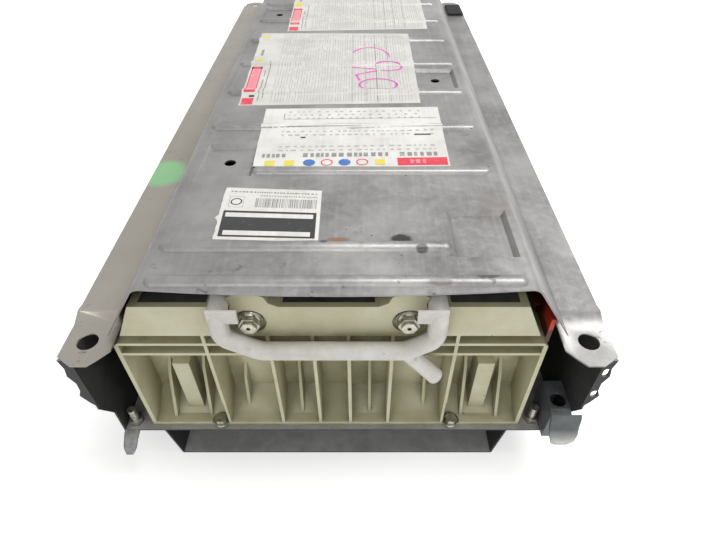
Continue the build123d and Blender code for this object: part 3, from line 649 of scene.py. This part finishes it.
def sheet_print(name, ink, worn, wear):
    """Screen printed ink on film: flat and even, thinned where hands have rubbed it."""
    material, tree, shader = start(name)
    where = add(tree, "ShaderNodeTexCoord", out="Object")
    rubbed = clouds(tree, where, 7, 6, 0.7)
    colour = add(tree, "ShaderNodeMix", {
        "Factor": add(tree, "ShaderNodeMapRange", {
            "Value": rubbed, "From Min": 0.56, "From Max": 0.7, "To Min": 0.0, "To Max": wear
        }),
        FIRST: ink,
        SECOND: worn,
    }, out=BLEND, data_type="RGBA")
    tree.links.new(colour, shader.inputs["Base Color"])
    tree.links.new(
        add(tree, "ShaderNodeMapRange", {
            "Value": rubbed, "From Min": 0.3, "From Max": 0.7, "To Min": 0.38, "To Max": 0.55
        }),
        shader.inputs["Roughness"],
    )
    return material


def label_film(name, light, dark):
    """Matt polyester label film: off-white, yellowed and rubbed, with faint grey soiling."""
    material, tree, shader = start(name)
    where = add(tree, "ShaderNodeTexCoord", out="Object")
    cloud = clouds(tree, where, 30, 6, 0.65)
    colour = add(tree, "ShaderNodeMix", {
        "Factor": add(tree, "ShaderNodeMapRange", {"Value": cloud, "From Min": 0.4, "From Max": 0.7}),
        FIRST: light,
        SECOND: dark,
    }, out=BLEND, data_type="RGBA")
    soil = clouds(tree, where, 10, 7, 0.75)
    colour = add(tree, "ShaderNodeMix", {
        "Factor": add(tree, "ShaderNodeMapRange", {
            "Value": soil, "From Min": 0.63, "From Max": 0.75, "To Min": 0.0, "To Max": 0.5
        }),
        FIRST: colour,
        SECOND: "#9B968D",
    }, out=BLEND, data_type="RGBA")
    # rubbed streaks along the sheet, about 4 mm apart
    streak = clouds(tree, where, 4, 3, 0.6, (1.0, 0.03, 1.0))
    colour = add(tree, "ShaderNodeMix", {
        "Factor": add(tree, "ShaderNodeMapRange", {
            "Value": streak, "From Min": 0.5, "From Max": 0.75, "To Min": 0.0, "To Max": 0.3
        }),
        FIRST: colour,
        SECOND: "#B9B6B1",
    }, out=BLEND, data_type="RGBA")
    tree.links.new(colour, shader.inputs["Base Color"])
    tree.links.new(
        add(tree, "ShaderNodeMapRange", {
            "Value": cloud, "From Min": 0.3, "From Max": 0.7, "To Min": 0.36, "To Max": 0.5
        }),
        shader.inputs["Roughness"],
    )
    relief = add(tree, "ShaderNodeBump", {"Strength": 0.2, "Distance": 0.0004, "Height": cloud})
    tree.links.new(relief, shader.inputs["Normal"])
    return material


cover_finish = zinc_coated_pressing()
case_finish = coated_case_steel()
cream_finish = moulded_cream()
tube_finish = soft_white_tube()
fastener_finish = zinc_plated_fastener()
cell_finish = moulded_plastic("moulded_black_polymer_alloy", "#1E2021", "#2F3233", 0.4, 0.6)
housing_finish = moulded_plastic("moulded_black_nylon", "#171818", "#242626", 0.45, 0.65)
orange_finish = orange_with_painted_shadow()
cable_finish = moulded_plastic("orange_cable_sheath", "#D0591C", "#E06A24", 0.4, 0.55, "#8A6A50", 0.25)
foam_finish = moulded_plastic("closed_cell_foam", "#101010", "#1D1D1D", 0.85, 0.97, "#3A3A38", 0.25)
pedestal_finish = pedestal_coating()
copper_finish = link_copper()
tongue_finish = torn_sheet()
FINISHES = {
    "cover_steel": cover_finish, "case_steel": case_finish, "cream_plastic": cream_finish,
    "cell_plastic": cell_finish, "white_tube": tube_finish, "zinc_hardware": fastener_finish,
    "orange_plastic": orange_finish, "orange_cable": cable_finish, "copper": copper_finish,
    "pedestal_steel": pedestal_finish, "black_plastic": housing_finish, "black_foam": foam_finish,
}


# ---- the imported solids, carried over with eased edges ----
def from_bmesh(name, mesh_data, material):
    """A new piece from a finished bmesh, riding on the one body."""
    mesh = bpy.data.meshes.new(name)
    mesh_data.to_mesh(mesh)
    mesh_data.free()
    piece = bpy.data.objects.new(name, mesh)
    bpy.context.scene.collection.objects.link(piece)
    mesh.materials.append(material)
    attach(piece, "root")
    return piece


def smooth_by_angle(piece, degrees):
    """Shade a piece smooth, apart from edges sharper than the angle."""
    mesh = piece.data
    mesh.shade_smooth()
    mesh.set_sharp_from_angle(angle=math.radians(degrees))


def face_up(work):
    """Turn every face of a flat mesh upwards."""
    for face in work.faces:
        face.normal_update()
        if face.normal.z < 0:
            face.normal_flip()


def eased_copy(node, edge_mm):
    """A merged copy of a solid with small rounded edges, in place of the solid."""
    source = bpy.data.objects[node]
    work = bmesh.new()
    work.from_mesh(source.data)
    bmesh.ops.remove_doubles(work, verts=work.verts, dist=0.000002)
    if node == "lower_case":
        chips = [v for v in work.verts if abs(v.co.y) > CHIPS_PAST and v.co.z < CHIPS_UNDER]
        bmesh.ops.delete(work, geom=chips, context="VERTS")
    bmesh.ops.dissolve_limit(work, angle_limit=math.radians(0.6), verts=work.verts, edges=work.edges)
    piece = from_bmesh(node + "_finished", work, FINISHES[SLOTS[node]])
    smooth_by_angle(piece, 32)
    ease = piece.modifiers.new("eased_edges", "BEVEL")
    ease.width = edge_mm * MM
    ease.segments = 2
    ease.limit_method = "ANGLE"
    ease.angle_limit = math.radians(40)
    ease.harden_normals = True
    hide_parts(node)
    return piece


SLOTS = {entry["node"]: entry["material_slot"] for entry in frame["record"]["subparts"]}
EASED = {
    "top_cover": 0.3, "end_plate_front": 0.6, "end_plate_rear": 0.6, "lower_case": 0.3,
    "corner_pedestal_front": 1.5, "corner_pedestal_rear": 1.5,
    "tie_rod_nuts": 0.3, "vent_cross_tube": 0.4, "foam_pad": 0.8,
    "junction_block": 1.0, "control_unit": 1.0,
}
for node_name, slot_name in SLOTS.items():
    solid = bpy.data.objects[node_name]
    solid.data.materials.clear()
    solid.data.materials.append(FINISHES[slot_name])
    if node_name in EASED:
        eased_copy(node_name, EASED[node_name])

# the beads under the labels are pressed half a millimetre flatter, so that the films lie on them
# and the label stays within the height of the other beads
for vert in bpy.data.objects["top_cover_finished"].data.vertices:
    if LABELS_FROM < vert.co.y < LABELS_TO:
        vert.co.z = min(vert.co.z, DOME_TOP + PRESSED_BEAD - 0.0001)


# ---- torn tongue of the deck beside the left front stud, sizes in millimetres ----
TONGUE_X, TONGUE_Y, TONGUE_Z = -162.0, -352.0, 35.0
TONGUE_WIDE = 12.0
TONGUE_LONG = 18.5
TONGUE_DROOP = 7.0
TONGUE_SKEW = 1.5


def deck_tongue():
    """A strip of the deck with a rounded end, bent a little down."""
    work = bmesh.new()
    made = bmesh.ops.create_grid(work, x_segments=6, y_segments=12, size=0.5)
    for vert in made["verts"]:
        out = vert.co.y + 0.5
        narrow = 1.0 - 0.25 * out - 0.75 * max(0.0, out - 0.75) ** 1.5 * 4
        x = TONGUE_X + vert.co.x * TONGUE_WIDE * narrow + TONGUE_SKEW * out
        y = TONGUE_Y - TONGUE_LONG * out
        vert.co = (x * MM, y * MM, (TONGUE_Z - TONGUE_DROOP * out ** 2) * MM)
    bmesh.ops.recalc_face_normals(work, faces=work.faces)
    face_up(work)
    piece = from_bmesh("deck_tongue", work, tongue_finish)
    sheet = piece.modifiers.new("sheet", "SOLIDIFY")
    sheet.thickness = 1.3 * MM
    sheet.offset = 1.0
    smooth_by_angle(piece, 40)


deck_tongue()

# ---- labels on the cover: plain film with rows of marks, laid over the beads ----
# heights over the sheet and thicknesses, in millimetres: the films first, then their print in two layers
FILM_LIFT = 0.02
FILM_MM = 0.15
PRINT_LIFT = 0.20
RING_LIFT = 0.21
OVERPRINT_LIFT = 0.25
MARKER_LIFT = 0.3
INK_MM = 0.04

# a film is cut this finely along the cover, in metres, to follow the beads
FOLD_STEP = 0.0022


def cover_height(y):
    """Height of the cover's top at a place along it, with its beads."""
    rise = 0.0
    for line in BEAD_LINES:
        off = abs(y - line)
        if off < BEAD_REACH:
            rise = max(rise, math.sqrt(BEAD_RADIUS ** 2 - off ** 2) - BEAD_SINK)
    return DOME_TOP + min(rise, PRESSED_BEAD)


def on_sheet(corners, u, v):
    """Place of a label's point; corners are near left, near right, far right and far left, in mm."""
    near = Vector(corners[0]).lerp(Vector(corners[1]), u)
    far = Vector(corners[3]).lerp(Vector(corners[2]), u)
    return near.lerp(far, v) * MM


def lay(work, corners, u0, v0, u1, v1, lift, torn=0.0):
    """Add a rectangle of film or ink to a mesh, following the cover."""
    run = (on_sheet(corners, 0.5, v1) - on_sheet(corners, 0.5, v0)).length
    across = max(1, min(30, round((u1 - u0) * 30))) if torn else 1
    steps = max(1, math.ceil(run / FOLD_STEP))
    made = bmesh.ops.create_grid(work, x_segments=across, y_segments=steps, size=0.5)
    for vert in made["verts"]:
        u = u0 + (vert.co.x + 0.5) * (u1 - u0)
        v = v0 + (vert.co.y + 0.5) * (v1 - v0)
        place = on_sheet(corners, u, v)
        if torn and vert.co.x < -0.49:
            place.x += torn * MM * (0.5 + noise.noise(Vector((0.0, v * 9.0, 3.0))))
        vert.co = (place.x, place.y, cover_height(place.y) + lift * MM)


def film_piece(name, work, material, thick_mm):
    """A film or ink with its thickness, from a flat mesh."""
    bmesh.ops.recalc_face_normals(work, faces=work.faces)
    piece = from_bmesh(name, work, material)
    body = piece.modifiers.new("film", "SOLIDIFY")
    body.thickness = thick_mm * MM
    body.offset = 1.0
    return piece


def marks(name, corners, boxes, material, lift=PRINT_LIFT):
    """One piece for all marks of one ink on a label."""
    work = bmesh.new()
    for u0, v0, u1, v1 in boxes:
        lay(work, corners, u0, v0, u1, v1, lift)
    face_up(work)
    return film_piece(name, work, material, INK_MM)


def rings(name, corners, places, material, lift=RING_LIFT):
    """Discs and rings of ink: (u, v, outer radius in mm, inner radius in mm)."""
    work = bmesh.new()
    for u, v, outer, inner in places:
        centre = on_sheet(corners, u, v)
        made = bmesh.ops.create_grid(work, x_segments=28, y_segments=1, size=0.5)
        for vert in made["verts"]:
            turn = (vert.co.x + 0.5) * math.tau
            reach = (outer if vert.co.y > 0 else inner) * MM
            x = centre.x + reach * math.cos(turn)
            y = centre.y + reach * math.sin(turn)
            vert.co = (x, y, cover_height(y) + lift * MM)
    bmesh.ops.remove_doubles(work, verts=work.verts, dist=0.00002)
    face_up(work)
    return film_piece(name, work, material, INK_MM)


def strokes(name, paths, width_mm, material):
    """Marker strokes: each a bent run of (centre, radii, from, to) in mm and degrees, or a straight run."""
    work = bmesh.new()
    for path in paths:
        made = bmesh.ops.create_grid(work, x_segments=36, y_segments=1, size=0.5)
        for vert in made["verts"]:
            step = vert.co.x + 0.5
            points = []
            for at in (step - 0.01, step, step + 0.01):
                if len(path) == 4:
                    (cx, cy), (rx, ry), begin, end = path
                    turn = math.radians(begin + at * (end - begin))
                    points.append(Vector((cx + rx * math.cos(turn), cy + ry * math.sin(turn))))
                else:
                    points.append(Vector(path[0]).lerp(Vector(path[1]), at))
            heading = (points[2] - points[0]).normalized()
            wide = width_mm * (0.8 + 0.4 * noise.noise(Vector((step * 4, points[1].x * 0.1, 0))))
            place = points[1] + Vector((-heading.y, heading.x)) * wide * vert.co.y
            vert.co = (place.x * MM, place.y * MM, cover_height(place.y * MM) + MARKER_LIFT * MM)
    face_up(work)
    return film_piece(name, work, material, 0.03)


white_film = label_film("matt_polyester_label_film", "#E3E1DC", "#CFCCC6")
aged_film = label_film("aged_polyester_label_film", "#D6D4CF", "#C2BFBA")
black_ink = sheet_print("black_screen_ink", "#262728", "#5B5C5C", 0.5)
grey_ink = sheet_print("grey_thermal_print", "#8B8A88", "#C9C7C2", 0.9)
faint_ink = sheet_print("faded_thermal_print", "#B4B2AE", "#D3D1CC", 0.9)
red_ink = sheet_print("red_screen_ink", "#D9374A", "#E89AA0", 0.8)
pink_ink = sheet_print("faded_red_screen_ink", "#E58A92", "#E9C4C4", 0.8)
yellow_ink = sheet_print("yellow_screen_ink", "#DDD04E", "#E3DFA6", 0.7)
blue_ink = sheet_print("blue_screen_ink", "#3F6FB4", "#9DB4D2", 0.7)
marker_ink = sheet_print("magenta_marker", "#D94FB4", "#E3A6D2", 0.8)
chance = random.Random(7)


def dashes(u0, u1, v, height, low, high, gap):
    """A row of short marks with uneven lengths."""
    row = []
    u = u0
    while u < u1:
        length = chance.uniform(low, high)
        row.append((u, v, min(u + length, u1), v + height))
        u += length + chance.uniform(gap * 0.5, gap * 1.5)
    return row


PART_LABEL = ((-81.6, -309.5), (-12.4, -312.0), (-13.1, -255.8), (-84.2, -251.4))
CARE_LABEL = ((-67.7, -226.0), (82.2, -222.5), (83.2, -123.2), (-70.3, -127.2))
LONG_LABEL = ((-96.5, -121.0), (68.7, -115.5), (69.5, 67.0), (-101.6, 68.7))
FAR_LABEL = ((-72.9, 75.2), (93.8, 84.0), (95.0, 262.0), (-76.0, 258.0))
# name, corners, film, how far the left edge is torn in mm
LABELS = (
    ("part_label", PART_LABEL, white_film, 5.0),
    ("care_label", CARE_LABEL, white_film, 0.6),
    ("long_label", LONG_LABEL, aged_film, 0.6),
    ("far_label", FAR_LABEL, aged_film, 0.6),
)
for label_name, corners, film, torn_mm in LABELS:
    sheet_work = bmesh.new()
    lay(sheet_work, corners, 0.0, 0.0, 1.0, 1.0, FILM_LIFT, torn=torn_mm)
    face_up(sheet_work)
    film_piece(label_name, sheet_work, film, FILM_MM)



def part_label():
    """The near label: dark panel with two pale strips, plain bars, a boxed ring and two rows of dashes."""
    marks("part_label_panel", PART_LABEL, [(0.07, 0.05, 0.965, 0.53)], black_ink)
    strips = [(0.11, 0.08, 0.92, 0.16), (0.095, 0.41, 0.935, 0.49)]
    marks("part_label_strips", PART_LABEL, strips, white_film, OVERPRINT_LIFT)
    bars = []
    u = 0.36
    while u < 0.95:
        wide = chance.choice((0.004, 0.006, 0.009, 0.012))
        bars.append((u, 0.61, u + wide, 0.79))
        u += wide + chance.choice((0.005, 0.007, 0.011))
    marks("part_label_bars", PART_LABEL, bars, grey_ink)
    box = [(0.10, 0.60, 0.104, 0.82), (0.24, 0.60, 0.244, 0.82),
           (0.10, 0.60, 0.244, 0.605), (0.10, 0.815, 0.244, 0.82)]
    marks("part_label_box", PART_LABEL, box, grey_ink)
    rings("part_label_ring", PART_LABEL, [(0.172, 0.71, 4.0, 3.1)], black_ink)
    rows = dashes(0.40, 0.96, 0.835, 0.02, 0.010, 0.02, 0.010)
    rows += dashes(0.10, 0.96, 0.905, 0.025, 0.012, 0.03, 0.012)
    marks("part_label_rows", PART_LABEL, rows, grey_ink)



def care_label():
    """The second label: a red block, a row of plain coloured shapes and rows of marks."""
    marks("care_label_block", CARE_LABEL, [(0.735, 0.015, 0.99, 0.125)], red_ink)
    notches = [(0.80, 0.04, 0.815, 0.10), (0.83, 0.04, 0.85, 0.10), (0.865, 0.04, 0.88, 0.10)]
    marks("care_label_block_marks", CARE_LABEL, notches, pink_ink, OVERPRINT_LIFT)
    rings("care_label_blue", CARE_LABEL, [(u, 0.07, 4.6, 0.0) for u in (0.285, 0.465)], blue_ink)
    rings("care_label_red", CARE_LABEL, [(u, 0.07, 4.6, 3.7) for u in (0.375, 0.555)], red_ink)
    yellow = [(0.06, 0.03, 0.11, 0.105), (0.16, 0.03, 0.21, 0.105), (0.62, 0.03, 0.67, 0.105)]
    marks("care_label_yellow", CARE_LABEL, yellow, yellow_ink)
    line = dashes(0.04, 0.17, 0.155, 0.05, 0.012, 0.02, 0.008)
    for begin, end in ((0.25, 0.70), (0.75, 0.96)):
        line += dashes(begin, end, 0.155, 0.055, 0.014, 0.026, 0.012)
    marks("care_label_line", CARE_LABEL, line, grey_ink)
    rows = []
    for v in (0.25, 0.31, 0.50, 0.56):
        rows += dashes(0.12, 0.95, v, 0.016, 0.008, 0.03, 0.02)
    for v in (0.80, 0.86, 0.92):
        rows += dashes(0.14, 0.90, v, 0.016, 0.008, 0.02, 0.03)
    marks("care_label_rows", CARE_LABEL, rows, faint_ink)
    dark_bars = [(0.225, 0.455, 0.252, 0.475), (0.84, 0.485, 0.93, 0.505)]
    marks("care_label_dark", CARE_LABEL, dark_bars, black_ink)
    corner_lines = [(0.115, 0.79, 0.119, 0.90), (0.115, 0.79, 0.98, 0.794)]
    marks("care_label_frame", CARE_LABEL, corner_lines, grey_ink)


def lengthwise_label(label_name, corners, seed):
    """A long label: many faint rows along the case, four ruled lines and a coloured edge strip."""
    chance.seed(seed)
    rows = []
    u = 0.17
    while u < 0.97:
        v = 0.03
        while v < 0.96:
            run = chance.uniform(0.05, 0.30)
            rows.append((u, v, u + 0.0045, min(v + run, 0.97)))
            v += run + chance.uniform(0.01, 0.05)
        u += chance.uniform(0.013, 0.021)
    ruled = [(u, 0.02, u + 0.003, 0.97) for u in (0.625, 0.70, 0.765, 0.84)]
    frame_strips = [(0.012, 0.01, 0.075, 0.08), (0.012, 0.13, 0.02, 0.47), (0.068, 0.13, 0.075, 0.47),
                    (0.012, 0.13, 0.075, 0.15), (0.012, 0.44, 0.075, 0.47)]
    side_rows = [(0.095, 0.05, 0.101, 0.30), (0.095, 0.34, 0.101, 0.42), (0.118, 0.08, 0.124, 0.55),
                 (0.04, 0.63, 0.055, 0.72)]
    marks(label_name + "_rows", corners, rows, faint_ink)
    marks(label_name + "_lines", corners, ruled, grey_ink)
    marks(label_name + "_red", corners, frame_strips, red_ink)
    marks(label_name + "_pink", corners, [(0.022, 0.155, 0.066, 0.435)], pink_ink)
    marks(label_name + "_yellow", corners, [(0.02, 0.52, 0.07, 0.58), (0.02, 0.88, 0.07, 0.95)], yellow_ink)
    marks(label_name + "_side_rows", corners, side_rows, grey_ink)


part_label()
care_label()
lengthwise_label("long_label", LONG_LABEL, 3)
lengthwise_label("far_label", FAR_LABEL, 5)
marks("long_label_spot", LONG_LABEL, [(0.045, 0.09, 0.075, 0.115)], black_ink)

# plain loops and bars drawn by hand with a marker: (centre, radii, from, to) or (begin, end)
SCRIBBLE = [
    ((24, -8), (21, 30), 5, 150),
    ((5, -33), (29, -38)),
    ((42, -33), (14, 9), 160, -120),
    ((31, -42), (8, -53)),
    ((31, -76), (18, 14), 0, 365),
    ((10, -53), (13, -66)),
]
strokes("marker_scribble", SCRIBBLE, 2.6, marker_ink)


# ---- lights, floor and backdrop ----
FLOOR_GLOW = 0.46       # lifts the floor to white where it is seen, over the light that falls on it
FLOOR_HALF = 6.0
SKY_FILL = 0.36         # strength of the backdrop as a light; where it is seen it is 1, which is white


def seen_ray(tree):
    """One for rays from the camera and for what metal and glass reflect or pass."""
    path = tree.nodes.new("ShaderNodeLightPath")
    mirrored = add(tree, "ShaderNodeMath", {
        0: path.outputs["Is Glossy Ray"], 1: path.outputs["Is Transmission Ray"]
    }, operation="MAXIMUM")
    return add(tree, "ShaderNodeMath", {0: path.outputs["Is Camera Ray"], 1: mirrored}, operation="MAXIMUM")


def stage_finish():
    """Matt white paper floor, kept just under white so that the shadow stays."""
    material, tree, shader = start("white_paper_floor")
    shader.inputs["Base Color"].default_value = linear("#F4F4F3")
    shader.inputs["Roughness"].default_value = 0.9
    shader.inputs["Specular IOR Level"].default_value = 0.1
    tree.links.new(
        add(tree, "ShaderNodeMath", {0: seen_ray(tree), 1: FLOOR_GLOW}, operation="MULTIPLY"),
        shader.inputs["Emission Strength"],
    )
    shader.inputs["Emission Color"].default_value = (1, 1, 1, 1)
    return material


floor_work = bmesh.new()
bmesh.ops.create_grid(floor_work, x_segments=2, y_segments=2, size=FLOOR_HALF)
floor_mesh = bpy.data.meshes.new("floor")
floor_work.to_mesh(floor_mesh)
floor_work.free()
floor = bpy.data.objects.new("floor", floor_mesh)
floor_mesh.materials.append(stage_finish())
bpy.context.scene.collection.objects.link(floor)

world = bpy.data.worlds.new("studio")
world.use_nodes = True
bpy.context.scene.world = world
tree = world.node_tree
background = tree.nodes["Background"]
background.inputs["Color"].default_value = (1, 1, 1, 1)
tree.links.new(
    add(tree, "ShaderNodeMapRange", {
        "Value": seen_ray(tree), "From Min": 0.0, "From Max": 1.0, "To Min": SKY_FILL, "To Max": 1.0
    }),
    background.inputs["Strength"],
)


def soft_light(name, place, aim, size, power):
    """A rectangular lamp that faces a point, in metres and watts."""
    lamp = bpy.data.lights.new(name, "AREA")
    lamp.shape = "RECTANGLE"
    lamp.size, lamp.size_y = size
    lamp.energy = power
    lamp_object = bpy.data.objects.new(name, lamp)
    facing = (Vector(aim) - Vector(place)).to_track_quat("-Z", "Y").to_matrix().to_4x4()
    lamp_object.matrix_world = Matrix.Translation(place) @ facing
    bpy.context.scene.collection.objects.link(lamp_object)


soft_light("overhead", (0.7, 0.0, 1.75), (0, -0.1, 0), (0.9, 1.5), 27)
soft_light("front", (-0.1, -1.9, 1.7), (0, -0.3, 0.1), (1.8, 0.6), 12)
